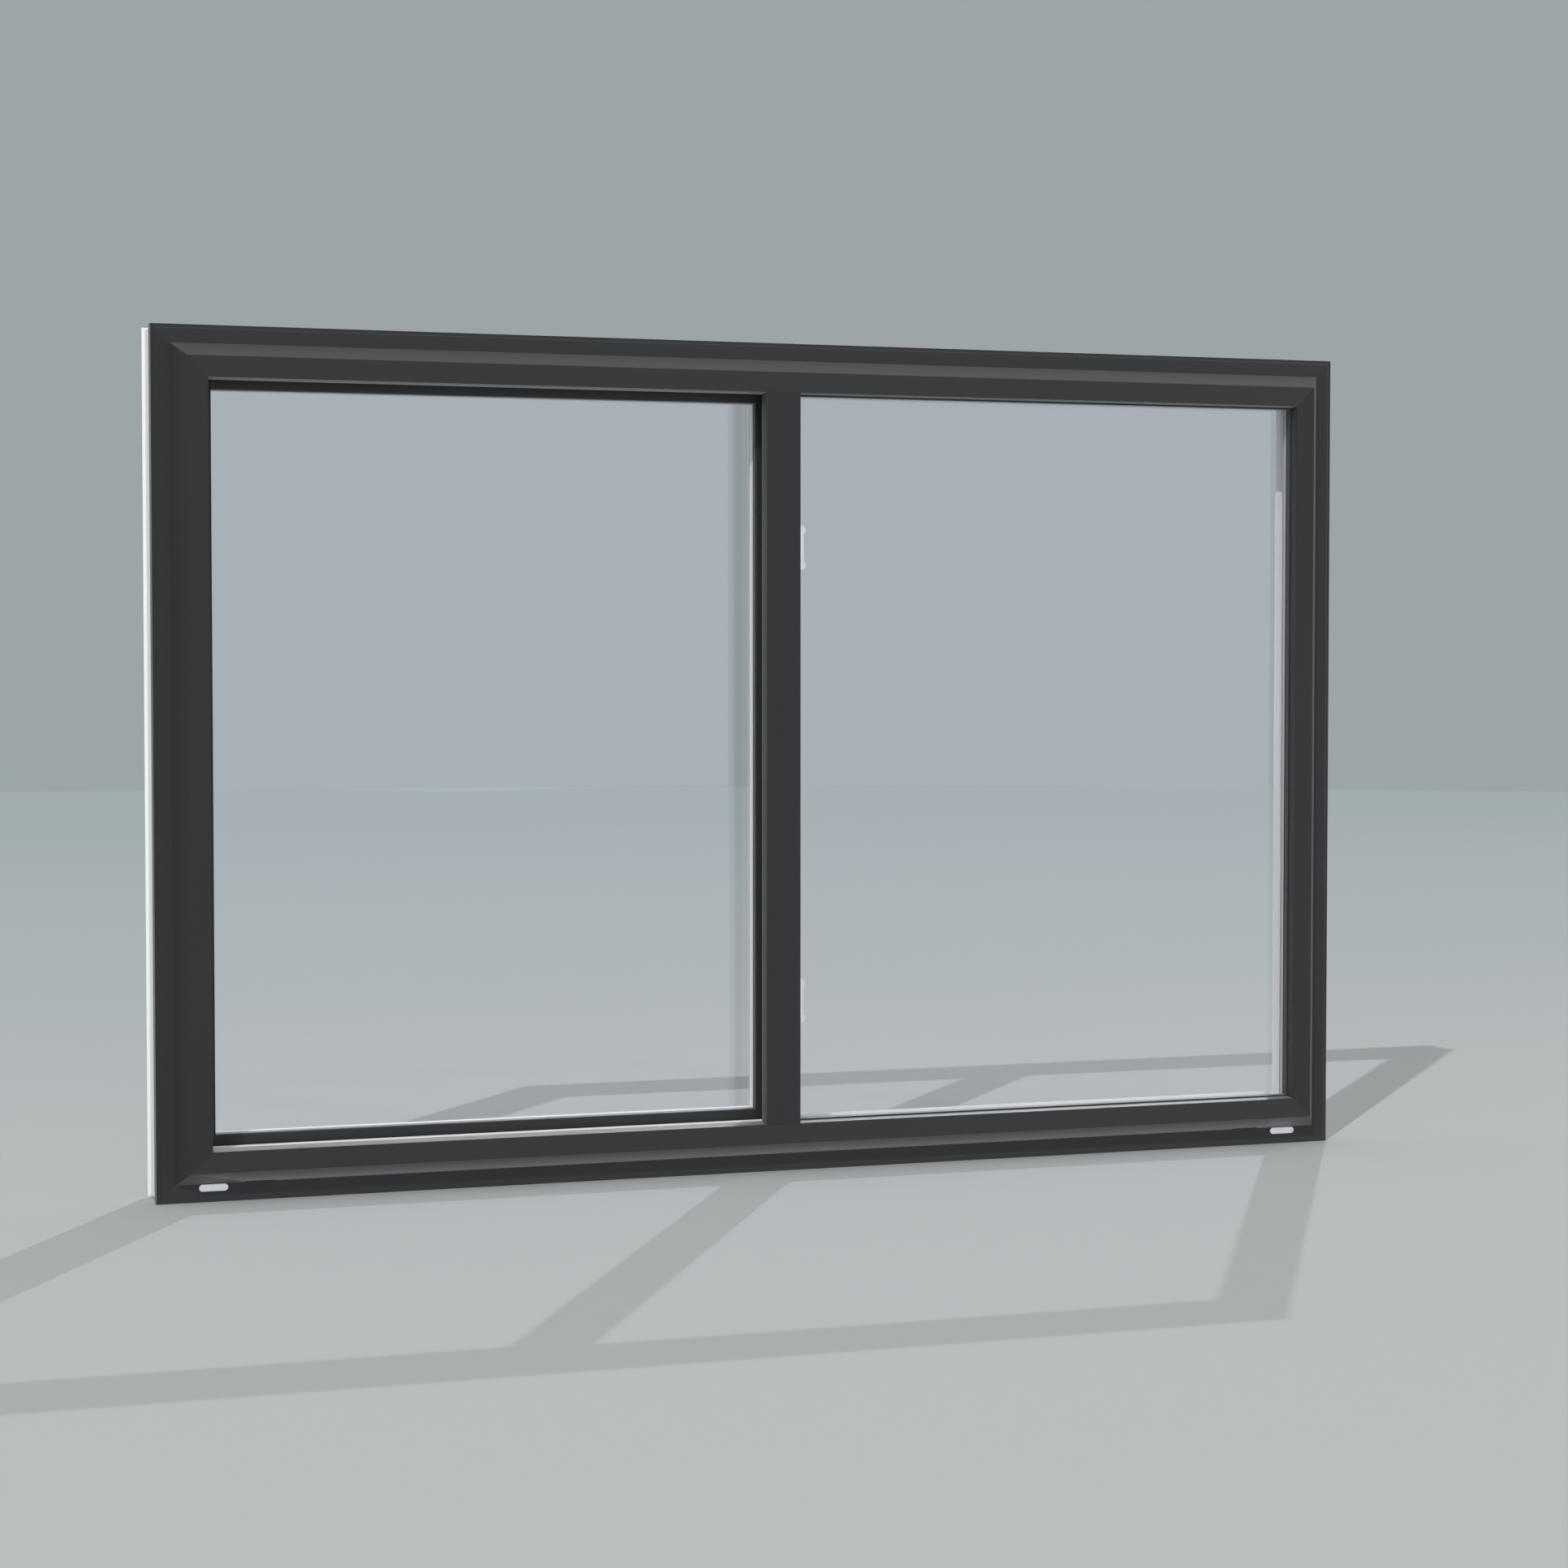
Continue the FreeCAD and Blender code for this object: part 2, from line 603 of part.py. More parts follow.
def sash_lock(prefix, rise):
    """A case on the room side of the meeting stile, and the lever that sweeps past its edge."""
    case_x = "(sash_lap - case_edge - case_width / 2)"
    case_back = f"({SASH_BACK} + case_depth)"
    capsule(f"{prefix}_lock_case", "case_length", "case_width", "case_depth", case_x, SASH_BACK, rise,
            TOWARDS_RIGHT)
    grip_x = f"({case_x} + grip_reach)"
    grip_back = f"({case_back} + grip_depth)"
    hub = doc.addObject("Part::Cylinder", f"{prefix}_hub")
    bind(hub, Radius="hub_radius", Height="grip_depth")
    lay_along_depth(hub, case_x, case_back, rise)
    arm = box(f"{prefix}_arm", case_x, grip_x, case_back, grip_back,
              f"({rise} - hub_radius + grip_waist)", f"({rise} + hub_radius - grip_waist)")
    waist = "(grip_width / 2 - grip_waist)"
    knob_rise = "(grip_length / 2 - grip_width / 2)"
    grip = box(f"{prefix}_grip", f"({grip_x} - {waist})", f"({grip_x} + {waist})", case_back, grip_back,
               f"({rise} - {knob_rise})", f"({rise} + {knob_rise})")
    pieces = [hub, arm, grip]
    for side in ("-", "+"):
        knob = doc.addObject("Part::Cylinder", f"{prefix}_knob")
        bind(knob, Radius="grip_width / 2", Height="grip_depth")
        lay_along_depth(knob, grip_x, case_back, f"({rise} {side} {knob_rise})")
        pieces.append(knob)
    lever = doc.addObject("Part::MultiFuse", f"{prefix}_lock_lever")
    lever.Label = f"{prefix}_lock_lever"
    lever.Shapes = pieces
    lever.Refine = True
    subparts.append(lever)


def pull_rail():
    """A finger pull on the room side of the left stile, clear of the jamb's leg."""
    section = [
        (SASH_BACK, "0"),
        (f"{SASH_BACK} + pull_depth", "0"),
        (f"{SASH_BACK} + pull_depth", "pull_wall + pull_lip"),
        (f"{SASH_BACK} + pull_depth - pull_wall", "pull_wall + pull_lip"),
        (f"{SASH_BACK} + pull_depth - pull_wall", "pull_wall"),
        (SASH_BACK, "pull_wall"),
    ]
    edge = f"({SASH_POCKET_LEFT} - pull_edge)"
    bar("pull_rail", section, "pull_length", edge, "0", SASH_MID, TOWARDS_LEFT)


def weep_covers():
    """Two round-ended drain covers on the band, each with a panel sunk inside its rim."""
    for label, side in (("left_weep_cover", "-"), ("right_weep_cover", "")):
        cover = capsule(label, "weep_length", "weep_height", "weep_proud",
                        f"{side}({FRAME_RIGHT} - weep_inset)", "(0 - weep_proud)", "weep_rise")
        panel = add_sketch(cover, "panel", "XZ_Plane")
        bind(panel, AttachmentOffset__Base__z="weep_proud - weep_recess")
        draw_capsule(panel, "(weep_length - 2 * weep_rim)", "(weep_height - 2 * weep_rim)")
        cut(cover, panel, "weep_recess")


exterior_moulding()
white_frame()
fixed_stile()
pocket_covers()
fixed_light()
glazing_stops()
weep_covers()
sash_frame()
sash_rollers()
sash_glass()
sash_lock("lower", "lower_lock_rise")
sash_lock("upper", "upper_lock_rise")
pull_rail()

doc.recompute()
for item in doc.Objects:
    if "Invalid" in item.State or "Error" in item.State:
        raise RuntimeError(f"{item.Label} failed: {item.State}")
for item in subparts:
    if item.Shape.isNull() or not item.Shape.isValid():
        raise RuntimeError(f"{item.Label} has no valid shape")

os.makedirs("parts", exist_ok=True)
for item in subparts:
    item.Shape.exportStep(f"parts/{item.Label}.step")
print(len(subparts), "sub-parts written")
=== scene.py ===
"""Finishes a horizontal sliding window: edges, foil, vinyl, glass, seals, screws and a plain stage."""
import json
import math
import random

import bmesh
import bpy
from mathutils import Matrix, Vector
from mathutils.bvhtree import BVHTree

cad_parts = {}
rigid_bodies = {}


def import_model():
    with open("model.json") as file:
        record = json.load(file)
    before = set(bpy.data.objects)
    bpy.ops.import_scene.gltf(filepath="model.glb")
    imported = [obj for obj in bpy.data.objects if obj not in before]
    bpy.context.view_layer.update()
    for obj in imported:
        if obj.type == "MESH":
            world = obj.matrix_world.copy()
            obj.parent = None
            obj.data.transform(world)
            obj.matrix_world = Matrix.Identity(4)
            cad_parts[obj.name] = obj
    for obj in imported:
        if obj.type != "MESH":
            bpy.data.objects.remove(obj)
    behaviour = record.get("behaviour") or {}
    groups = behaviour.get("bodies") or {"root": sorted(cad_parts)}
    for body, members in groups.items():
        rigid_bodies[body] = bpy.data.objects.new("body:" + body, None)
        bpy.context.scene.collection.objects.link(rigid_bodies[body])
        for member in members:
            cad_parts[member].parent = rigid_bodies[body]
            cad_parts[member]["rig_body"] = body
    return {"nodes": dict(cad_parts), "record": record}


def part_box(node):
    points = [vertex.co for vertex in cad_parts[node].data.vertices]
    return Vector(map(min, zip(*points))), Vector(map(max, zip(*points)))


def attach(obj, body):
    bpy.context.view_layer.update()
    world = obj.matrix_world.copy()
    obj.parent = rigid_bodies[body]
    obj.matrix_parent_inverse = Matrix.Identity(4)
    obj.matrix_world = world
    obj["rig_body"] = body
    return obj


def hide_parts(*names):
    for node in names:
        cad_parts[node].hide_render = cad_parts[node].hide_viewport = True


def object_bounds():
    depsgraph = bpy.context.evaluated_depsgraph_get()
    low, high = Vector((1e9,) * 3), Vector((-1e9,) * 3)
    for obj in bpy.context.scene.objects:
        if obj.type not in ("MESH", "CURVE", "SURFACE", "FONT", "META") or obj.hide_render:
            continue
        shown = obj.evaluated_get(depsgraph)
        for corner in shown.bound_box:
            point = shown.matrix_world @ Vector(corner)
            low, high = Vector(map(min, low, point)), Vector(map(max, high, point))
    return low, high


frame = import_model()
CAD_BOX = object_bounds()

bl_info = {
    "name": "Sliding window finish",
    "version": (1, 0, 0),
    "blender": (4, 5, 0),
    "location": "View3D > Sidebar > Window",
    "description": "Rounds, glazes, seals and finishes the parts of a horizontal sliding window",
    "category": "Object",
}

LEVEL, DEPTH, UPRIGHT = (Vector(axis) for axis in ((1, 0, 0), (0, 1, 0), (0, 0, 1)))
SAME_SPOT = 1e-6
FLAT_JOINT = math.radians(1)
CURVE_JOINT = math.radians(35)

# Mitred bars, of which only the long edges are rounded.
MITRED = ("_moulding", "_stop", "_bead", "frame_head", "frame_sill", "left_jamb", "right_jamb")

# Places as parts of the sill's half width and of the jambs' height.
DRAIN_SPOTS = (-0.72, -0.24, 0.24, 0.72)
JAMB_SCREW_SPOTS = (0.12, 0.5, 0.88)

# The bars and the beads that frame each glass unit, at its left, right, bottom and top.
OUTER_BARS = {
    "fixed": ("fixed_stile_stop", "fixed_jamb_stop", "fixed_sill_stop", "fixed_head_stop"),
    "sash": ("sash_left_stile_cap", "sash_meeting_stile_cap", "sash_bottom_rail_cap", "sash_top_rail_cap"),
}
BEADS = {
    "fixed": ("fixed_stile_bead", "fixed_jamb_bead", "fixed_sill_bead", "fixed_head_bead"),
    "sash": ("sash_left_bead", "sash_meeting_bead", "sash_bottom_bead", "sash_top_bead"),
}

# Small forms as parts of the width, height or radius of what they are on.
DRAIN_TAPER = 0.1
SEAL_ROUND = 0.8
BACKING_WIDTH = 1.4
RIVET_ROUND = 0.9
SCREW_CROWN = 0.92
CROSS_ARM, CROSS_SLIT, CROSS_TAPER = 0.6, 0.15, 0.05
CROSS_DEPTH = 0.6

PILE_SEED = 7
COLOUR_STOPS = (0.3, 0.7)

# Spans of a direction's depth and height in which the world goes from sky to backdrop, and on to overhead.
BACKDROP_SPAN = (-0.85, -0.2)
OVERHEAD_SPAN = (0.25, 0.7)
# Depths behind the window, and how far the floor has gone over into the backdrop's colour at each.
FLOOR_FADE = ((-0.5, 0.0), (2.8, 0.55), (10.0, 1.0))
FLOOR_SIDES = 96


def colour(name, description, default):
    """A colour that a user may change."""
    return bpy.props.FloatVectorProperty(
        name=name, description=description, subtype="COLOR", size=3, min=0, max=1, default=default)


def length(name, description, default):
    """A length in metres that a user may change."""
    return bpy.props.FloatProperty(
        name=name, description=description, unit="LENGTH", min=0, precision=5, default=default)


def share(name, description, default):
    """A part of one that a user may change."""
    return bpy.props.FloatProperty(
        name=name, description=description, subtype="FACTOR", min=0, max=1, default=default)


def angle(name, description, degrees):
    """An angle that a user may change."""
    return bpy.props.FloatProperty(
        name=name, description=description, subtype="ANGLE", default=math.radians(degrees))


class FinishSettings(bpy.types.PropertyGroup):
    """Colours and sheens of the window's materials"""
    charcoal: colour("Charcoal foil", "Dark foil outside", (0.0098, 0.0095, 0.0088))
    white: colour("White vinyl", "Frame and sash on the room side", (0.81, 0.81, 0.80))
    hardware: colour("White hardware", "Locks and drain covers", (0.89, 0.89, 0.88))
    # Painted shade: the fixed unit's spacer is a mid grey, darker than the sash's near-white one, so that
    # the strips round the fixed glass, above all at its right edge, read as white in shade.
    fixed_spacer: colour("Fixed spacer", "Warm edge between the fixed panes", (0.50, 0.49, 0.48))
    sash_spacer: colour("Sash spacer", "Warm edge between the sash's panes", (0.88, 0.88, 0.87))
    glass: colour("Glass", "Tint of the panes", (0.986, 0.989, 0.998))
    gasket: colour("Gasket", "Rubber seal outside", (0.006, 0.006, 0.007))
    soft_lip: colour("Soft lip", "Pale seals of the glass units", (0.90, 0.90, 0.89))
    pile: colour("Pile", "Brush seals round the sash", (0.16, 0.16, 0.17))
    aluminium: colour("Aluminium", "Roller track", (0.74, 0.75, 0.76))
    nylon: colour("Nylon", "Rollers and their housings", (0.60, 0.59, 0.55))
    steel: colour("Steel", "Screws and rivets", (0.58, 0.58, 0.57))
    # Painted highlight and shade: level bars get a stronger sheen so that the head's and sill's slopes read
    # lighter, upright bars a weaker one so that their left-facing sides stay dark; the split stands in for
    # light from above, not for the foil's grain.
    level_slope_highlight_sheen: share("Level sheen", "Sheen of the foil on level bars", 0.43)
    upright_side_shade_sheen: share("Upright sheen", "Sheen of the foil on upright bars, kept low as painted shade", 0.22)


class TrimSettings(bpy.types.PropertyGroup):
    """Sizes of the window's roundings, seals and fastenings"""
    bar_round: length("Bar edge", "Rounding of the extruded bars' edges", 0.0006)
    joint_round: length("Joint edge", "Easing of a bar's ends where it butts on another", 0.0003)
    roller_round: length("Roller edge", "Rounding of the rollers' and their housings' edges", 0.0003)
    hardware_round: length("Hardware edge", "Rounding of the moulded hardware's edges", 0.0016)
    glass_arris: length("Glass arris", "Ground edge of the panes", 0.0004)
    glass_gap: length("Glass gap", "Room that keeps the panes' faces off what holds them", 0.0001)
    gasket_width: length("Gasket width", "How far the rubber shows on the glass", 0.0014)
    gasket_height: length("Gasket height", "How far the rubber stands off the glass", 0.0020)
    lip_width: length("Lip width", "How far the pale seal shows on the glass", 0.0024)
    lip_height: length("Lip height", "How far the pale seal stands off the glass", 0.0014)
    fixed_seal: length("Fixed seal", "How far the fixed unit's edge seal shows past its gasket", 0.0009)
    sash_seal: length("Sash seal", "How far the sash unit's edge seal shows past its gasket", 0.0012)
    seal_height: length("Seal height", "Thickness of the edge seals inside the glass units", 0.0006)
    pile_width: length("Pile width", "Width of the brush seals", 0.0048)
    pile_gap: length("Pile gap", "Room left between the bristles and what they brush", 0.0004)
    pile_fray: length("Pile fray", "How uneven the bristles are", 0.0006)
    pile_pitch: length("Pile pitch", "Distance from tuft to tuft", 0.0025)
    pile_backing: length("Pile backing", "Thickness of the strip that holds the bristles", 0.0008)
    screw_radius: length("Screw radius", "Radius of a screw's head", 0.0036)
    screw_height: length("Screw height", "Height of a screw's head", 0.0014)
    lock_screw_rise: length("Lock screw rise", "From a lock's middle to each of its screws", 0.0235)
    lever_blend: length("Lever blend", "Hollow rounding where a lever's arm meets its grip", 0.0030)
    rivet_radius: length("Rivet radius", "Radius of the rivet that a lever turns on", 0.0042)
    rivet_height: length("Rivet height", "How far that rivet stands proud", 0.0006)
    drain_length: length("Drain length", "Length of a drain slot in the sill", 0.032)
    drain_width: length("Drain width", "Width of a drain slot in the sill", 0.005)
    drain_depth: length("Drain depth", "Depth of a drain slot in the sill", 0.006)


class StageSettings(bpy.types.PropertyGroup):
    """Floor, surroundings and camera"""
    floor: colour("Floor", "Pale floor", (0.455, 0.466, 0.466))
    backdrop: colour("Backdrop", "What is seen behind the window", (0.332, 0.376, 0.386))
    sky: colour("Sky", "Light from in front of the window", (0.80, 0.85, 0.98))
    overhead: colour("Overhead", "Light from above the window", (0.57, 0.58, 0.585))
    floor_radius: length("Floor radius", "How far the floor reaches", 14.0)
    camera_place: bpy.props.FloatVectorProperty(
        name="Camera", description="Where the camera stands", subtype="XYZ", unit="LENGTH",
        default=(-1.6677, -4.7316, 0.7655))
    camera_yaw: angle("Yaw", "Turn of the camera to the right", 19.708)
    camera_pitch: angle("Pitch", "Tilt of the camera downwards", 2.265)
    field_of_view: angle("Field of view", "Width of the view", 26.12)


def new_material(name):
    """A node material and its main shader."""
    material = bpy.data.materials.new(name)
    material.use_nodes = True
    return material, material.node_tree.nodes["Principled BSDF"]


def even(fineness):
    """A pattern's fineness that is the same along all axes."""
    return (fineness, fineness, fineness)


def along(axis, fine, coarse):
    """A pattern's fineness that is coarse along one axis, as die lines on an extruded bar are."""
    return tuple(coarse if part else fine for part in axis)


def pattern(material, fineness, detail):
    """Noise on the piece's own coordinates, by its fineness along each axis."""
    nodes, links = material.node_tree.nodes, material.node_tree.links
    place = nodes.new("ShaderNodeTexCoord")
    mapping = nodes.new("ShaderNodeMapping")
    mapping.inputs["Scale"].default_value = fineness
    noise = nodes.new("ShaderNodeTexNoise")
    noise.inputs["Scale"].default_value = 1.0
    noise.inputs["Detail"].default_value = detail
    links.new(place.outputs["Object"], mapping.inputs["Vector"])
    links.new(mapping.outputs["Vector"], noise.inputs["Vector"])
    return noise.outputs["Fac"]


def vary_colour(material, shader, factor, base, spread):
    """Lets a colour drift a little darker and lighter with a pattern."""
    nodes, links = material.node_tree.nodes, material.node_tree.links
    ramp = nodes.new("ShaderNodeValToRGB")
    for element, stop, tone in zip(ramp.color_ramp.elements, COLOUR_STOPS, (1 - spread, 1 + spread)):
        element.position = stop
        element.color = (*(min(1, channel * tone) for channel in base), 1)
    links.new(factor, ramp.inputs["Fac"])
    links.new(ramp.outputs["Color"], shader.inputs["Base Color"])


def vary_roughness(material, shader, factor, low, high):
    """Lets a surface go from smoother to rougher with a pattern."""
    nodes, links = material.node_tree.nodes, material.node_tree.links
    spread = nodes.new("ShaderNodeMapRange")
    spread.inputs["To Min"].default_value = low
    spread.inputs["To Max"].default_value = high
    links.new(factor, spread.inputs["Value"])
    links.new(spread.outputs["Result"], shader.inputs["Roughness"])


def add_bump(material, shader, factor, depth):
    """Raises and sinks a surface with a pattern, by a depth in metres."""
    nodes, links = material.node_tree.nodes, material.node_tree.links
    bump = nodes.new("ShaderNodeBump")
    bump.inputs["Strength"].default_value = 1.0
    bump.inputs["Distance"].default_value = depth
    links.new(factor, bump.inputs["Height"])
    links.new(bump.outputs["Normal"], shader.inputs["Normal"])


def run_name(axis):
    """How a bar along an axis is called in its material's name."""
    return "level" if axis is LEVEL else "upright"


def charcoal_foil(finish, axis):
    """Satin charcoal foil with a fine grain that runs along the bar."""
    material, shader = new_material(f"charcoal foil {run_name(axis)}")
    grain = pattern(material, along(axis, fine=1400, coarse=90), detail=4)
    drift = pattern(material, along(axis, fine=9, coarse=2), detail=3)
    vary_colour(material, shader, drift, finish.charcoal, spread=0.10)
    vary_roughness(material, shader, grain, low=0.42, high=0.58)
    add_bump(material, shader, grain, depth=0.00005)
    # Painted highlight and shade: the level bars' stronger sheen lights up the head's and sill's slopes,
    # the upright bars' weaker one keeps their sides dark.
    sheen = finish.level_slope_highlight_sheen if axis is LEVEL else finish.upright_side_shade_sheen
    shader.inputs["Specular IOR Level"].default_value = 0.4
    shader.inputs["Sheen Weight"].default_value = sheen
    return material


def white_vinyl(finish, axis):
    """White extruded vinyl with faint die lines."""
    material, shader = new_material(f"white vinyl {run_name(axis)}")
    lines = pattern(material, along(axis, fine=700, coarse=1), detail=2)
    drift = pattern(material, along(axis, fine=6, coarse=2), detail=3)
    vary_colour(material, shader, drift, finish.white, spread=0.025)
    vary_roughness(material, shader, lines, low=0.34, high=0.46)
    add_bump(material, shader, lines, depth=0.00002)
    return material


def white_enamel(finish):
    """Glossy enamel on cast hardware, with a slight orange peel."""
    material, shader = new_material("white enamel")
    peel = pattern(material, even(900), detail=1)
    drift = pattern(material, even(40), detail=2)
    vary_colour(material, shader, drift, finish.hardware, spread=0.02)
    vary_roughness(material, shader, peel, low=0.18, high=0.26)
    add_bump(material, shader, peel, depth=0.00002)
    return material


def spacer_strip(name, base):
    """Matt spacer with the faint pores of its foam."""
    material, shader = new_material(name)
    pores = pattern(material, even(2200), detail=2)
    vary_colour(material, shader, pores, base, spread=0.08)
    vary_roughness(material, shader, pores, low=0.6, high=0.8)
    add_bump(material, shader, pores, depth=0.00006)
    return material


def clear_glass(finish):
    """Float glass with a faint roller wave; light from the lamps and the surroundings passes through it."""
    material, shader = new_material("clear glass")
    nodes, links = material.node_tree.nodes, material.node_tree.links
    shader.inputs["Base Color"].default_value = (*finish.glass, 1)
    shader.inputs["Roughness"].default_value = 0.0
    shader.inputs["IOR"].default_value = 1.52
    shader.inputs["Transmission Weight"].default_value = 1.0
    wave = pattern(material, fineness=(1.5, 1.5, 4.0), detail=1)
    add_bump(material, shader, wave, depth=0.00015)
    open_way = nodes.new("ShaderNodeBsdfTransparent")
    open_way.inputs["Color"].default_value = (*finish.glass, 1)
    rays = nodes.new("ShaderNodeLightPath")
    passing = nodes.new("ShaderNodeMath")
    passing.operation = "MAXIMUM"
    for i, ray in enumerate(("Is Shadow Ray", "Is Diffuse Ray")):
        links.new(rays.outputs[ray], passing.inputs[i])
    choice = nodes.new("ShaderNodeMixShader")
    links.new(passing.outputs["Value"], choice.inputs["Fac"])
    links.new(shader.outputs["BSDF"], choice.inputs[1])
    links.new(open_way.outputs["BSDF"], choice.inputs[2])
    links.new(choice.outputs["Shader"], nodes["Material Output"].inputs["Surface"])
    return material


def rubber(name, base):
    """Soft sealing strip with a powdery skin."""
    material, shader = new_material(name)
    skin = pattern(material, even(1600), detail=2)
    vary_colour(material, shader, skin, base, spread=0.15)
    vary_roughness(material, shader, skin, low=0.55, high=0.72)
    add_bump(material, shader, skin, depth=0.00003)
    return material


def brush_pile(finish):
    """Grey pile of fine fibres that stand out from the sash."""
    material, shader = new_material("brush pile")
    fibres = pattern(material, along(DEPTH, fine=3500, coarse=500), detail=3)
    vary_colour(material, shader, fibres, finish.pile, spread=0.45)
    vary_roughness(material, shader, fibres, low=0.8, high=0.95)
    add_bump(material, shader, fibres, depth=0.0002)
    shader.inputs["Sheen Weight"].default_value = 0.3
    return material


def metal(name, base, axis, low, high):
    """Bare metal with drawing lines along one axis, between two roughnesses."""
    material, shader = new_material(name)
    lines = pattern(material, along(axis, fine=2500, coarse=12), detail=2)
    shader.inputs["Metallic"].default_value = 1.0
    vary_colour(material, shader, lines, base, spread=0.06)
    vary_roughness(material, shader, lines, low, high)
    add_bump(material, shader, lines, depth=0.00001)
    return material


def roller_nylon(finish):
    """Moulded nylon with a faint mottle."""
    material, shader = new_material("roller nylon")
    mottle = pattern(material, even(300), detail=3)
    vary_colour(material, shader, mottle, finish.nylon, spread=0.05)
    vary_roughness(material, shader, mottle, low=0.42, high=0.55)
    add_bump(material, shader, mottle, depth=0.00003)
    return material


def placed(name, shape, material):
    """Turns a bmesh into an object of one material."""
    mesh = bpy.data.meshes.new(name)
    shape.to_mesh(mesh)
    shape.free()
    mesh.materials.append(material)
    thing = bpy.data.objects.new(name, mesh)
    bpy.context.scene.collection.objects.link(thing)
    return thing


def finished(name, shape, material, body, node=None):
    """Adds a piece that rides on a body, in the place of a node where it shows one."""
    piece = placed(name, shape, material)
    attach(piece, body)
    if node:
        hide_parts(node)


def body_of(node):
    """The body that a node moves with."""
    return frame["nodes"][node]["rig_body"]


def slot_of(node):
    """The material slot that the record gives a node."""
    return next(row["material_slot"] for row in frame["record"]["subparts"] if row["node"] == node)


def nodes_in(slot):
    """The nodes of one material slot."""
    return [node for node in frame["nodes"] if slot_of(node) == slot]


def long_axis(node):
    """The world axis that a bar runs along."""
    low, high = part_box(node)
    size = high - low
    return max((LEVEL, DEPTH, UPRIGHT), key=lambda axis: abs(size.dot(axis)))


def solid_of(node):
    """A merged copy of a node's solid, with flat faces whole and round ones smooth."""
    shape = bmesh.new()
    shape.from_mesh(frame["nodes"][node].data)
    bmesh.ops.remove_doubles(shape, verts=shape.verts, dist=SAME_SPOT)
    bmesh.ops.dissolve_limit(shape, angle_limit=FLAT_JOINT, verts=shape.verts, edges=shape.edges)
    for face in shape.faces:
        face.smooth = any(FLAT_JOINT < edge.calc_face_angle(0) < CURVE_JOINT for edge in face.edges)
    return shape


def round_edges(shape, edges, size, segments=3):
    """Rounds some edges and shades the new faces smoothly."""
    made = bmesh.ops.bevel(
        shape, geom=edges, offset=size, offset_type="OFFSET", segments=segments, profile=0.5,
        affect="EDGES", clamp_overlap=True, material=-1)
    for face in made["faces"]:
        face.smooth = True


def runs_along(edge, axis):
    """Whether an edge lies along an axis."""
    return abs((edge.verts[1].co - edge.verts[0].co).normalized().dot(axis)) > 1 - SAME_SPOT


def corners(shape, axis=None, convex=True):
    """The shape's sharp edges, convex or hollow, all or only those along one axis."""
    shape.normal_update()
    return [edge for edge in shape.edges
            if edge.calc_face_angle(0) > CURVE_JOINT and edge.is_convex == convex
            and (axis is None or runs_along(edge, axis))]


def surface_at(node, start, direction):
    """The point where a line from a start first meets a node's solid."""
    shape = solid_of(node)
    point = BVHTree.FromBMesh(shape).ray_cast(start, direction)[0]
    shape.free()
    if point is None:
        raise ValueError(f"the line misses {node}")
    return point


def recess(shape, boxes, facing, taper, depth):
    """Sinks a recess into flat faces that look one way; each box gives two corners of its outline."""
    plane = boxes[0][0].dot(facing)

    def flat_faces():
        shape.normal_update()
        return [face for face in shape.faces if face.normal.dot(facing) > 1 - SAME_SPOT
                and abs(face.calc_center_median().dot(facing) - plane) < SAME_SPOT]

    def is_inside(spot, low, high):
        return all(low[i] - SAME_SPOT < spot[i] < high[i] + SAME_SPOT for i in range(3))

    for axis in (LEVEL, DEPTH, UPRIGHT):
        if axis is not facing:
            for corner in (corner for box in boxes for corner in box):
                faces = flat_faces()
                edges = {edge for face in faces for edge in face.edges}
                verts = {vert for face in faces for vert in face.verts}
                bmesh.ops.bisect_plane(
                    shape, geom=[*faces, *edges, *verts], dist=SAME_SPOT, plane_co=corner, plane_no=axis)
    sunk = [face for face in flat_faces()
            if any(is_inside(face.calc_center_median(), *box) for box in boxes)]
    bmesh.ops.inset_region(shape, faces=sunk, thickness=taper, depth=-depth, use_even_offset=True)


def soften(node, material, size, axis=None, joint=0, shape=None):
    """Shows a node as its own solid with rounded edges, its ends eased where it butts on another bar."""
    shape = shape or solid_of(node)
    round_edges(shape, corners(shape, axis), size)
    if joint:
        round_edges(shape, corners(shape), joint, segments=2)
    finished(f"{node}_finish", shape, material, body_of(node), node)


def soften_bars(nodes, make_material, trim, finish):
    """Rounds the long edges of bars and lays the finish along them."""
    materials = {}
    for node in nodes:
        axis = long_axis(node)
        run = run_name(axis)
        if run not in materials:
            materials[run] = make_material(finish, axis)
        shape = drained_sill(trim) if node == "frame_sill" else None
        joint = 0 if node.endswith(MITRED) else trim.joint_round
        soften(node, materials[run], trim.bar_round, axis, joint, shape)


def drained_sill(trim):
    """The sill's solid with drain slots sunk into the floor of its channel, outside the track."""
    shape = solid_of("frame_sill")
    half_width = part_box("frame_sill")[1].x
    sash_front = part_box("sash_bottom_rail_cap")[0]
    half = Vector((trim.drain_length / 2, trim.drain_width / 2, 0))
    slots = []
    for spot in DRAIN_SPOTS:
        start = Vector((half_width * spot, sash_front.y, sash_front.z))
        middle = surface_at("frame_sill", start, -UPRIGHT)
        slots.append((middle - half, middle + half))
    recess(shape, slots, UPRIGHT, trim.drain_width * DRAIN_TAPER, trim.drain_depth)
    return shape


def block(shape, one, other):
    """Adds a box between two opposite corners."""
    low, high = Vector(map(min, one, other)), Vector(map(max, one, other))
    place = Matrix.Translation((low + high) / 2) @ Matrix.Diagonal((*(high - low), 1))
    bmesh.ops.create_cube(shape, size=1, matrix=place)


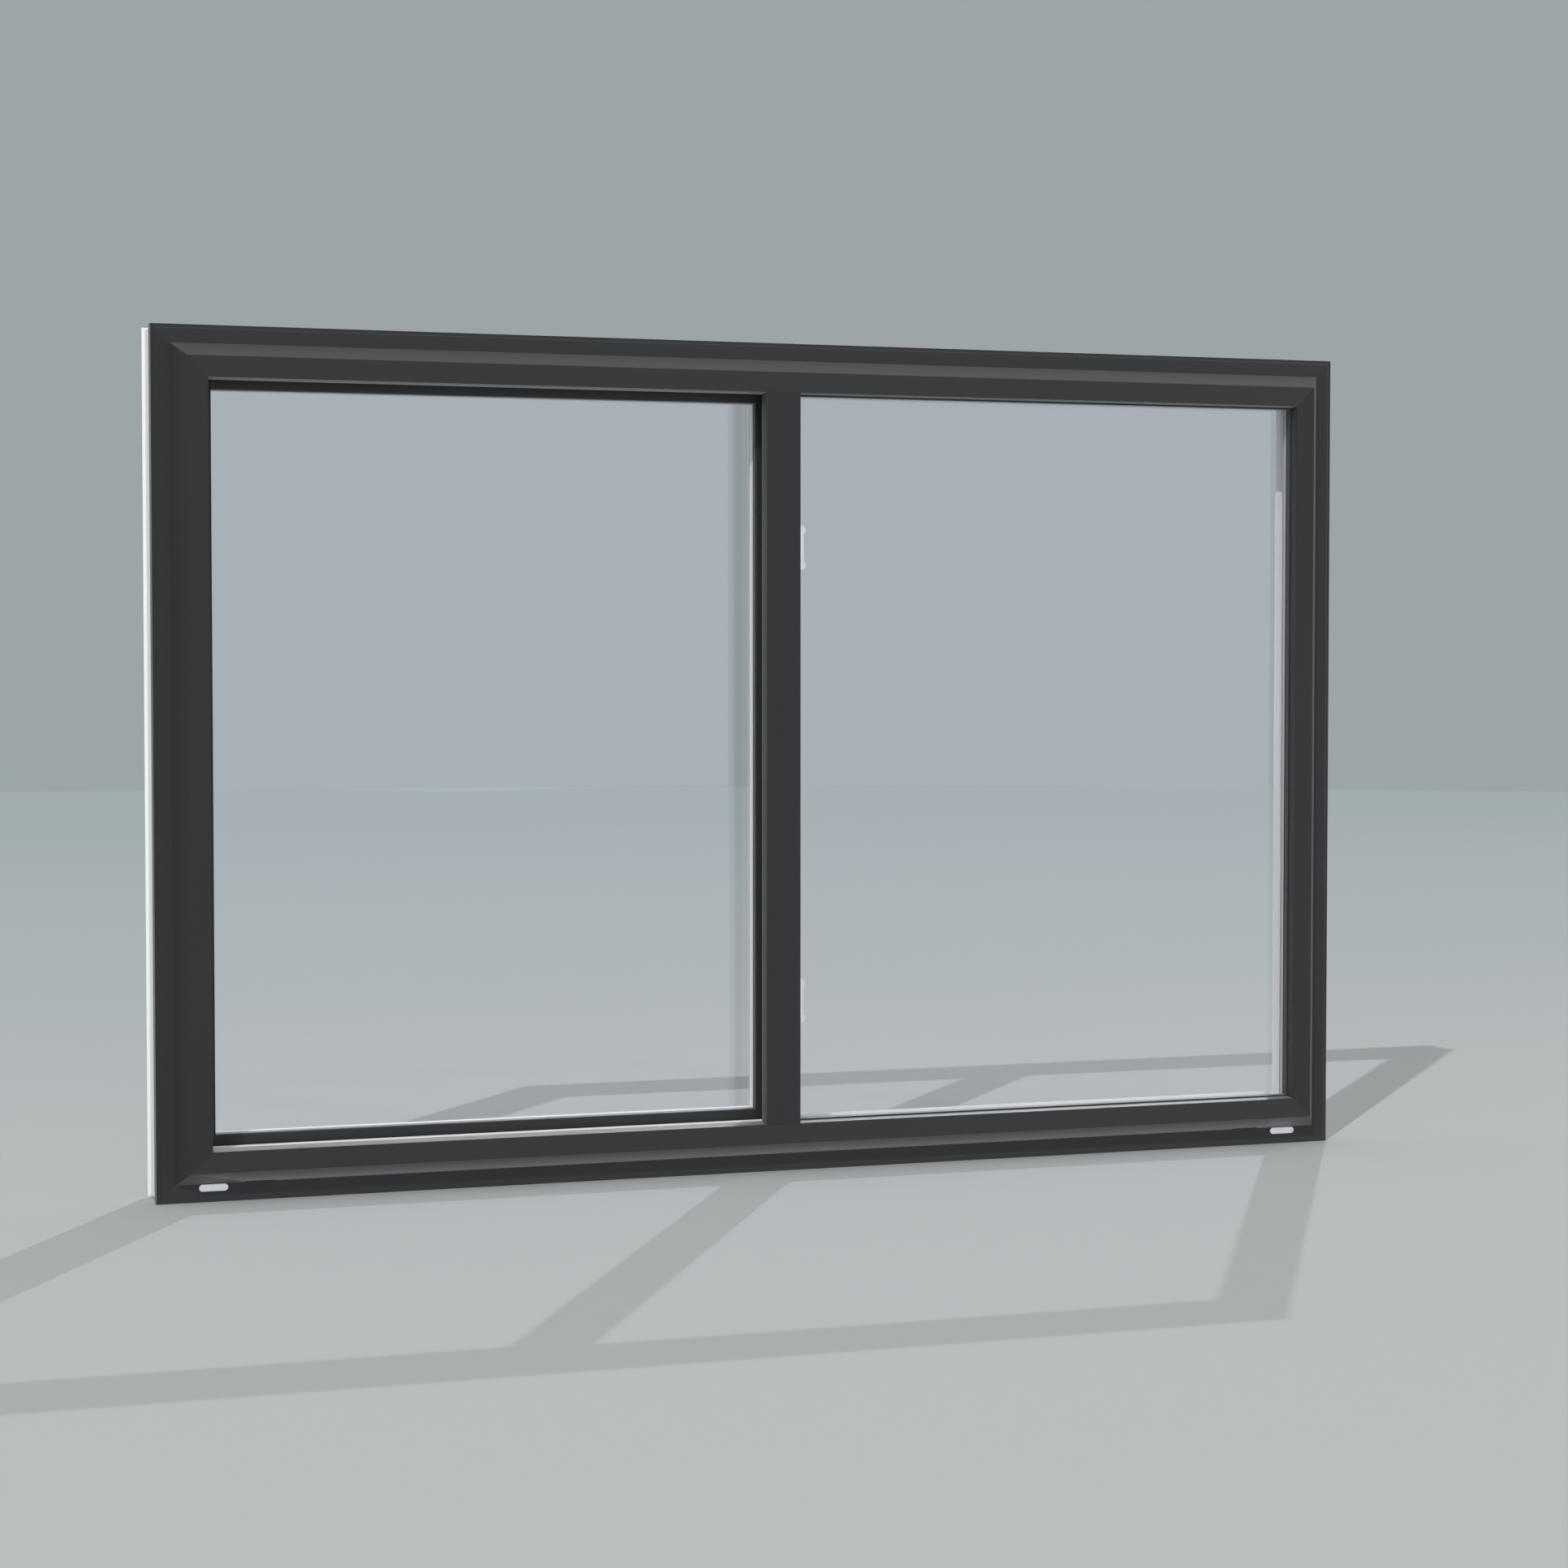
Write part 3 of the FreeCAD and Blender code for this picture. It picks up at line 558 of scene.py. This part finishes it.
def seal_ring(opening, width, glass, height):
    """A strip round an opening, lying on the glass and rounded at its free edge."""
    left, right, bottom, top = opening
    shape = bmesh.new()
    outline = [shape.verts.new((x, glass, z)) for x, z in (
        (left, bottom), (right, bottom), (right, top), (left, top))]
    pane = shape.faces.new(outline)
    bmesh.ops.inset_region(shape, faces=[pane], thickness=width, use_even_offset=True, use_boundary=True)
    bmesh.ops.delete(shape, geom=[pane], context="FACES")
    raised = bmesh.ops.extrude_face_region(shape, geom=shape.faces[:], use_keep_orig=True)
    verts = [item for item in raised["geom"] if isinstance(item, bmesh.types.BMVert)]
    bmesh.ops.translate(shape, vec=(0, height, 0), verts=verts)
    bmesh.ops.recalc_face_normals(shape, faces=shape.faces)
    free = [edge for edge in shape.edges if all(
        abs(vert.co.y - glass - height) < SAME_SPOT
        and left + width / 2 < vert.co.x < right - width / 2 for vert in edge.verts)]
    round_edges(shape, free, min(width, abs(height)) * SEAL_ROUND, segments=4)
    return shape


def pile_strip(start, end, face, tip, trim, fray):
    """A brush seal from start to end: a backing on one face, and bristles that end unevenly near a tip."""
    run = LEVEL if end.x - start.x > end.z - start.z else UPRIGHT
    side = (LEVEL + UPRIGHT - run) * trim.pile_width / 2
    backing = side * BACKING_WIDTH
    root = Vector((0, face, 0))
    towards = math.copysign(1, tip - face)
    shape = bmesh.new()
    block(shape, start - side + root, end + side + DEPTH * tip)
    tufts = int((end - start).length / trim.pile_pitch)
    long_edges = [edge for edge in shape.edges if runs_along(edge, run)]
    bmesh.ops.subdivide_edges(shape, edges=long_edges, cuts=tufts, use_grid_fill=True)
    for vert in shape.verts:
        if abs(vert.co.y - tip) < SAME_SPOT:
            vert.co.y -= towards * fray.random() * trim.pile_fray
    block(shape, start - backing + root, end + backing + root + DEPTH * towards * trim.pile_backing)
    return shape


def upper_rim(shape, height):
    """The sharp edges in the upper half of a head of some height."""
    return [edge for edge in corners(shape) if all(vert.co.z > height / 2 for vert in edge.verts)]


def screw_head(trim):
    """A pan head with a cross recess, standing on the origin."""
    radius, height = trim.screw_radius, trim.screw_height
    shape = bmesh.new()
    bmesh.ops.create_cone(
        shape, cap_ends=True, segments=28, radius1=radius, radius2=radius * SCREW_CROWN, depth=height,
        matrix=Matrix.Translation((0, 0, height / 2)))
    round_edges(shape, upper_rim(shape, height), height / 2)
    arm, slit = radius * CROSS_ARM, radius * CROSS_SLIT
    cross = [(Vector((-across, -up, height)), Vector((across, up, height)))
             for across, up in ((arm, slit), (slit, arm))]
    recess(shape, cross, UPRIGHT, radius * CROSS_TAPER, height * CROSS_DEPTH)
    return shape


def rivet_head(trim):
    """A low dome, standing on the origin."""
    radius, height = trim.rivet_radius, trim.rivet_height
    shape = bmesh.new()
    bmesh.ops.create_cone(
        shape, cap_ends=True, segments=32, radius1=radius, radius2=radius, depth=height,
        matrix=Matrix.Translation((0, 0, height / 2)))
    round_edges(shape, upper_rim(shape, height), height * RIVET_ROUND)
    return shape


def repeated(head, places):
    """One bmesh with a copy of a head at each place, which is a point and the way that the head looks."""
    mould = bpy.data.meshes.new("mould")
    head.to_mesh(mould)
    head.free()
    shape = bmesh.new()
    for point, facing in places:
        first = len(shape.verts)
        shape.from_mesh(mould)
        shape.verts.ensure_lookup_table()
        turn = facing.to_track_quat("Z", "Y").to_matrix().to_4x4()
        bmesh.ops.transform(shape, matrix=Matrix.Translation(point) @ turn, verts=shape.verts[first:])
    bpy.data.meshes.remove(mould)
    return shape


def opening_between(left, right, bottom, top):
    """The left, right, bottom and top of the opening that four bars leave."""
    return (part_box(left)[1].x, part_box(right)[0].x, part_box(bottom)[1].z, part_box(top)[0].z)


def spacer_opening(unit):
    """The left, right, bottom and top of the opening inside a glass unit's spacer."""
    low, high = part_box(f"{unit}_spacer")
    middle = (low + high) / 2
    left, right = (surface_at(f"{unit}_spacer", middle, way * LEVEL).x for way in (-1, 1))
    bottom, top = (surface_at(f"{unit}_spacer", middle, way * UPRIGHT).z for way in (-1, 1))
    return left, right, bottom, top


class WINDOW_OT_mouldings(bpy.types.Operator):
    """Round and finish the dark mouldings, the meeting stile and the sash's outer caps"""
    bl_idname = "sliding_window.mouldings"
    bl_label = "Dark mouldings"

    def execute(self, context):
        scene = context.scene
        soften_bars(nodes_in("charcoal_vinyl"), charcoal_foil, scene.window_trim, scene.window_finish)
        return {"FINISHED"}


class WINDOW_OT_vinyl(bpy.types.Operator):
    """Round and finish the white frame, the sash's cores, the beads and the covers"""
    bl_idname = "sliding_window.vinyl"
    bl_label = "White vinyl"

    def execute(self, context):
        scene = context.scene
        soften_bars(nodes_in("white_vinyl"), white_vinyl, scene.window_trim, scene.window_finish)
        return {"FINISHED"}


class WINDOW_OT_glazing(bpy.types.Operator):
    """Grind the panes' edges and finish the glass and its spacers"""
    bl_idname = "sliding_window.glazing"
    bl_label = "Glazing"

    def execute(self, context):
        trim, finish = context.scene.window_trim, context.scene.window_finish
        glass = clear_glass(finish)
        # The fixed unit's spacer takes a darker grey than the sash's, as painted shade.
        for unit, base in (("fixed", finish.fixed_spacer), ("sash", finish.sash_spacer)):
            for node in (f"{unit}_outer_pane", f"{unit}_inner_pane"):
                shape = solid_of(node)
                low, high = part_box(node)
                for vert in shape.verts:
                    vert.co.y += math.copysign(trim.glass_gap, (low.y + high.y) / 2 - vert.co.y)
                soften(node, glass, trim.glass_arris, shape=shape)
            soften(f"{unit}_spacer", spacer_strip(f"{unit} spacer", base), trim.glass_arris)
        return {"FINISHED"}


class WINDOW_OT_gaskets(bpy.types.Operator):
    """Seal both glass units: black rubber outside, pale seals between the panes and on the room side"""
    bl_idname = "sliding_window.gaskets"
    bl_label = "Gaskets"

    def execute(self, context):
        trim, finish = context.scene.window_trim, context.scene.window_finish
        black = rubber("black rubber", finish.gasket)
        pale = rubber("pale lip", finish.soft_lip)
        for unit, body, shows in (("fixed", "frame", trim.fixed_seal), ("sash", "sash", trim.sash_seal)):
            outside, between = (corner.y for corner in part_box(f"{unit}_outer_pane"))
            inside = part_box(f"{unit}_inner_pane")[1].y
            outer, inner = opening_between(*OUTER_BARS[unit]), opening_between(*BEADS[unit])
            edge = spacer_opening(unit)
            edge_width = outer[0] - edge[0] + trim.gasket_width + shows
            shape = seal_ring(outer, trim.gasket_width, outside, -trim.gasket_height)
            finished(f"{unit}_gasket", shape, black, body)
            shape = seal_ring(edge, edge_width, between, trim.seal_height)
            finished(f"{unit}_edge_seal", shape, pale, body)
            shape = seal_ring(inner, trim.lip_width, inside, trim.lip_height)
            finished(f"{unit}_inner_lip", shape, pale, body)
        return {"FINISHED"}


class WINDOW_OT_piles(bpy.types.Operator):
    """Set brush seals on the sash where it laps the frame's ribs outside and its legs inside"""
    bl_idname = "sliding_window.piles"
    bl_label = "Brush seals"

    def execute(self, context):
        trim = context.scene.window_trim
        pile = brush_pile(context.scene.window_finish)
        fray = random.Random(PILE_SEED)
        low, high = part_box("sash_left_stile_cap")[0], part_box("sash_meeting_stile")[1]
        stile_low, stile_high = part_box("fixed_stile_back")
        meeting = (stile_low.x + stile_high.x) / 2
        room = low.y - stile_high.y
        leg = (low + high) / 2
        leg.y = high.y + room + trim.bar_round
        ribs = (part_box("jamb_cover")[1].x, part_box("sill_cover")[1].z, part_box("frame_head")[0].z)
        legs = (surface_at("left_jamb", leg, -LEVEL).x, surface_at("frame_sill", leg, -UPRIGHT).z,
                surface_at("frame_head", leg, UPRIGHT).z)
        for side, face, towards, laps in (("outer", low.y, -1, ribs), ("inner", high.y, 1, legs)):
            left, bottom, top = ((edge + lap) / 2 for edge, lap in zip((low.x, low.z, high.z), laps))
            right = high.x - trim.pile_width
            foot, crown = bottom + trim.pile_width, top - trim.pile_width
            runs = {"bottom": ((left, bottom), (right, bottom)), "top": ((left, top), (right, top)),
                    "left": ((left, foot), (left, crown))}
            if side == "outer":
                runs["meeting"] = ((meeting, foot), (meeting, crown))
            tip = face + towards * (room - trim.pile_gap)
            for name, ends in runs.items():
                start, end = (Vector((x, 0, z)) for x, z in ends)
                shape = pile_strip(start, end, face, tip, trim, fray)
                finished(f"{name}_{side}_pile", shape, pile, "sash")
        return {"FINISHED"}


class WINDOW_OT_hardware(bpy.types.Operator):
    """Round and finish the locks and the drain covers"""
    bl_idname = "sliding_window.hardware"
    bl_label = "Hardware"

    def execute(self, context):
        trim = context.scene.window_trim
        enamel = white_enamel(context.scene.window_finish)
        for node in nodes_in("white_hardware"):
            shape = solid_of(node)
            if node.endswith("_lever"):
                round_edges(shape, corners(shape, DEPTH, convex=False), trim.lever_blend, segments=6)
            size = trim.bar_round if node.endswith("_weep_cover") else trim.hardware_round
            soften(node, enamel, size, shape=shape)
        return {"FINISHED"}


class WINDOW_OT_screws(bpy.types.Operator):
    """Drive the screws of the locks and the jambs, and the rivets that the levers turn on"""
    bl_idname = "sliding_window.screws"
    bl_label = "Screws and rivets"

    def execute(self, context):
        trim = context.scene.window_trim
        steel = metal("plated steel", context.scene.window_finish.steel, DEPTH, low=0.25, high=0.38)
        in_locks, rivets, in_jambs = [], [], []
        for lock in ("lower", "upper"):
            low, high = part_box(f"{lock}_lock_case")
            middle = (low + high) / 2
            for rise in (-trim.lock_screw_rise, trim.lock_screw_rise):
                in_locks.append((Vector((middle.x, high.y, middle.z + rise)), DEPTH))
            rivets.append((Vector((middle.x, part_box(f"{lock}_lock_lever")[1].y, middle.z)), DEPTH))
        channel = (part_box("sash_left_stile_cap")[0].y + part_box("upper_lock_case")[0].y) / 2
        for jamb, facing in (("left_jamb", LEVEL), ("right_jamb", -LEVEL)):
            for spot in JAMB_SCREW_SPOTS:
                start = Vector((0, channel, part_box(jamb)[1].z * spot))
                in_jambs.append((surface_at(jamb, start, -facing), facing))
        finished("lock_screws", repeated(screw_head(trim), in_locks), steel, "sash")
        finished("lock_rivets", repeated(rivet_head(trim), rivets), steel, "sash")
        finished("jamb_screws", repeated(screw_head(trim), in_jambs), steel, "frame")
        return {"FINISHED"}


class WINDOW_OT_rollers(bpy.types.Operator):
    """Finish the track, the rollers and their housings"""
    bl_idname = "sliding_window.rollers"
    bl_label = "Rollers and track"

    def execute(self, context):
        trim, finish = context.scene.window_trim, context.scene.window_finish
        nylon = roller_nylon(finish)
        for side in ("left", "right"):
            for part in ("housing", "wheel"):
                soften(f"{side}_roller_{part}", nylon, trim.roller_round)
        drawn = metal("drawn aluminium", finish.aluminium, LEVEL, low=0.28, high=0.42)
        soften("roller_track", drawn, trim.bar_round)
        return {"FINISHED"}


def smooth_span(tree, factor, start, end):
    """A factor that goes smoothly from 0 at a start to 1 at an end."""
    span = tree.nodes.new("ShaderNodeMapRange")
    span.interpolation_type = "SMOOTHSTEP"
    span.inputs["From Min"].default_value = start
    span.inputs["From Max"].default_value = end
    tree.links.new(factor, span.inputs["Value"])
    return span.outputs["Result"]


def studio_world(stage):
    """Even light: the backdrop's colour behind the window, a paler sky in front, and light overhead."""
    world = bpy.data.worlds.new("studio")
    world.use_nodes = True
    tree = world.node_tree
    place = tree.nodes.new("ShaderNodeTexCoord")
    split = tree.nodes.new("ShaderNodeSeparateXYZ")
    tree.links.new(place.outputs["Generated"], split.inputs["Vector"])
    around = tree.nodes.new("ShaderNodeMix")
    above = tree.nodes.new("ShaderNodeMix")
    for mix in (around, above):
        mix.data_type = "RGBA"
    around.inputs["A"].default_value = (*stage.sky, 1)
    around.inputs["B"].default_value = (*stage.backdrop, 1)
    above.inputs["B"].default_value = (*stage.overhead, 1)
    tree.links.new(smooth_span(tree, split.outputs["Y"], *BACKDROP_SPAN), around.inputs["Factor"])
    tree.links.new(smooth_span(tree, split.outputs["Z"], *OVERHEAD_SPAN), above.inputs["Factor"])
    tree.links.new(around.outputs["Result"], above.inputs["A"])
    tree.links.new(above.outputs["Result"], tree.nodes["Background"].inputs["Color"])
    bpy.context.scene.world = world


def fade_floor(material, shader, stage):
    """Lets the floor's colour go over into the backdrop's, as FLOOR_FADE says."""
    tree = material.node_tree
    place = tree.nodes.new("ShaderNodeTexCoord")
    split = tree.nodes.new("ShaderNodeSeparateXYZ")
    span = tree.nodes.new("ShaderNodeMapRange")
    start, end = FLOOR_FADE[0][0], FLOOR_FADE[-1][0]
    span.inputs["From Min"].default_value = start
    span.inputs["From Max"].default_value = end
    ramp = tree.nodes.new("ShaderNodeValToRGB")
    near, far = Vector(stage.floor), Vector(stage.backdrop)
    stops = ramp.color_ramp.elements
    while len(stops) < len(FLOOR_FADE):
        stops.new(0.5)
    for stop, (depth, blend) in zip(stops, FLOOR_FADE):
        stop.position = (depth - start) / (end - start)
        stop.color = (*near.lerp(far, blend), 1)
    tree.links.new(place.outputs["Object"], split.inputs["Vector"])
    tree.links.new(split.outputs["Y"], span.inputs["Value"])
    tree.links.new(span.outputs["Result"], ramp.inputs["Fac"])
    tree.links.new(ramp.outputs["Color"], shader.inputs["Base Color"])


def lay_floor(stage):
    """A round matt floor under the window; the glass and the foil mirror the sky instead of it."""
    shape = bmesh.new()
    bmesh.ops.create_circle(
        shape, cap_ends=True, segments=FLOOR_SIDES, radius=stage.floor_radius,
        matrix=Matrix.Translation((0, 0, CAD_BOX[0][2])))
    material, shader = new_material("pale floor")
    fade_floor(material, shader, stage)
    vary_roughness(material, shader, pattern(material, even(0.8), detail=2), low=0.75, high=0.85)
    shader.inputs["Specular IOR Level"].default_value = 0.0
    floor = placed("floor", shape, material)
    floor.visible_glossy = False


def soft_lamp(name, direction, spread, level, mirrored=True):
    """A far lamp, spread over some degrees; a white surface that faces it gets this level of white."""
    light = bpy.data.lights.new(name, "SUN")
    light.angle = math.radians(spread)
    light.energy = level * math.pi
    lamp = bpy.data.objects.new(name, light)
    lamp.visible_glossy = lamp.visible_transmission = mirrored
    lamp.location = direction
    lamp.rotation_euler = Vector(direction).to_track_quat("Z", "Y").to_euler()
    bpy.context.scene.collection.objects.link(lamp)


def place_camera(stage):
    """The camera that sees the window from outside, a little from the left."""
    view = bpy.data.cameras.new("camera")
    view.sensor_fit = "HORIZONTAL"
    view.angle = stage.field_of_view
    camera = bpy.data.objects.new("camera", view)
    camera.location = stage.camera_place
    camera.rotation_euler = (math.pi / 2 - stage.camera_pitch, 0, -stage.camera_yaw)
    bpy.context.scene.collection.objects.link(camera)
    bpy.context.scene.camera = camera


class WINDOW_OT_stage(bpy.types.Operator):
    """Set the pale floor, the soft lamps, the backdrop and the camera"""
    bl_idname = "sliding_window.stage"
    bl_label = "Stage"

    def execute(self, context):
        stage = context.scene.window_stage
        context.scene.view_settings.view_transform = "Standard"
        studio_world(stage)
        lay_floor(stage)
        soft_lamp("lamp behind", direction=(0.388, 0.658, 0.645), spread=0.5, level=0.29)
        soft_lamp("lamp in front", direction=(-0.464, -0.559, 0.687), spread=0.6, level=0.49)
        soft_lamp("fill in front", direction=(-0.14, -0.985, 0.06), spread=12, level=0.22, mirrored=False)
        place_camera(stage)
        return {"FINISHED"}


OPERATORS = (
    WINDOW_OT_mouldings, WINDOW_OT_vinyl, WINDOW_OT_glazing, WINDOW_OT_gaskets, WINDOW_OT_piles,
    WINDOW_OT_hardware, WINDOW_OT_screws, WINDOW_OT_rollers, WINDOW_OT_stage)


class WINDOW_PT_finish(bpy.types.Panel):
    """Buttons and settings for the sliding window"""
    bl_idname = "WINDOW_PT_finish"
    bl_label = "Sliding window"
    bl_space_type = "VIEW_3D"
    bl_region_type = "UI"
    bl_category = "Window"

    def draw(self, context):
        scene = context.scene
        for operator in OPERATORS:
            self.layout.operator(operator.bl_idname)
        for settings in (scene.window_finish, scene.window_trim, scene.window_stage):
            box = self.layout.box()
            for name in settings.__annotations__:
                box.prop(settings, name)


CLASSES = (FinishSettings, TrimSettings, StageSettings, *OPERATORS, WINDOW_PT_finish)


def register():
    for item in CLASSES:
        bpy.utils.register_class(item)
    bpy.types.Scene.window_finish = bpy.props.PointerProperty(type=FinishSettings)
    bpy.types.Scene.window_trim = bpy.props.PointerProperty(type=TrimSettings)
    bpy.types.Scene.window_stage = bpy.props.PointerProperty(type=StageSettings)


def unregister():
    del bpy.types.Scene.window_stage
    del bpy.types.Scene.window_trim
    del bpy.types.Scene.window_finish
    for item in reversed(CLASSES):
        bpy.utils.unregister_class(item)


def main():
    register()
    bpy.ops.sliding_window.mouldings()
    bpy.ops.sliding_window.vinyl()
    bpy.ops.sliding_window.glazing()
    bpy.ops.sliding_window.gaskets()
    bpy.ops.sliding_window.piles()
    bpy.ops.sliding_window.hardware()
    bpy.ops.sliding_window.screws()
    bpy.ops.sliding_window.rollers()
    bpy.ops.sliding_window.stage()


if __name__ == "__main__":
    main()
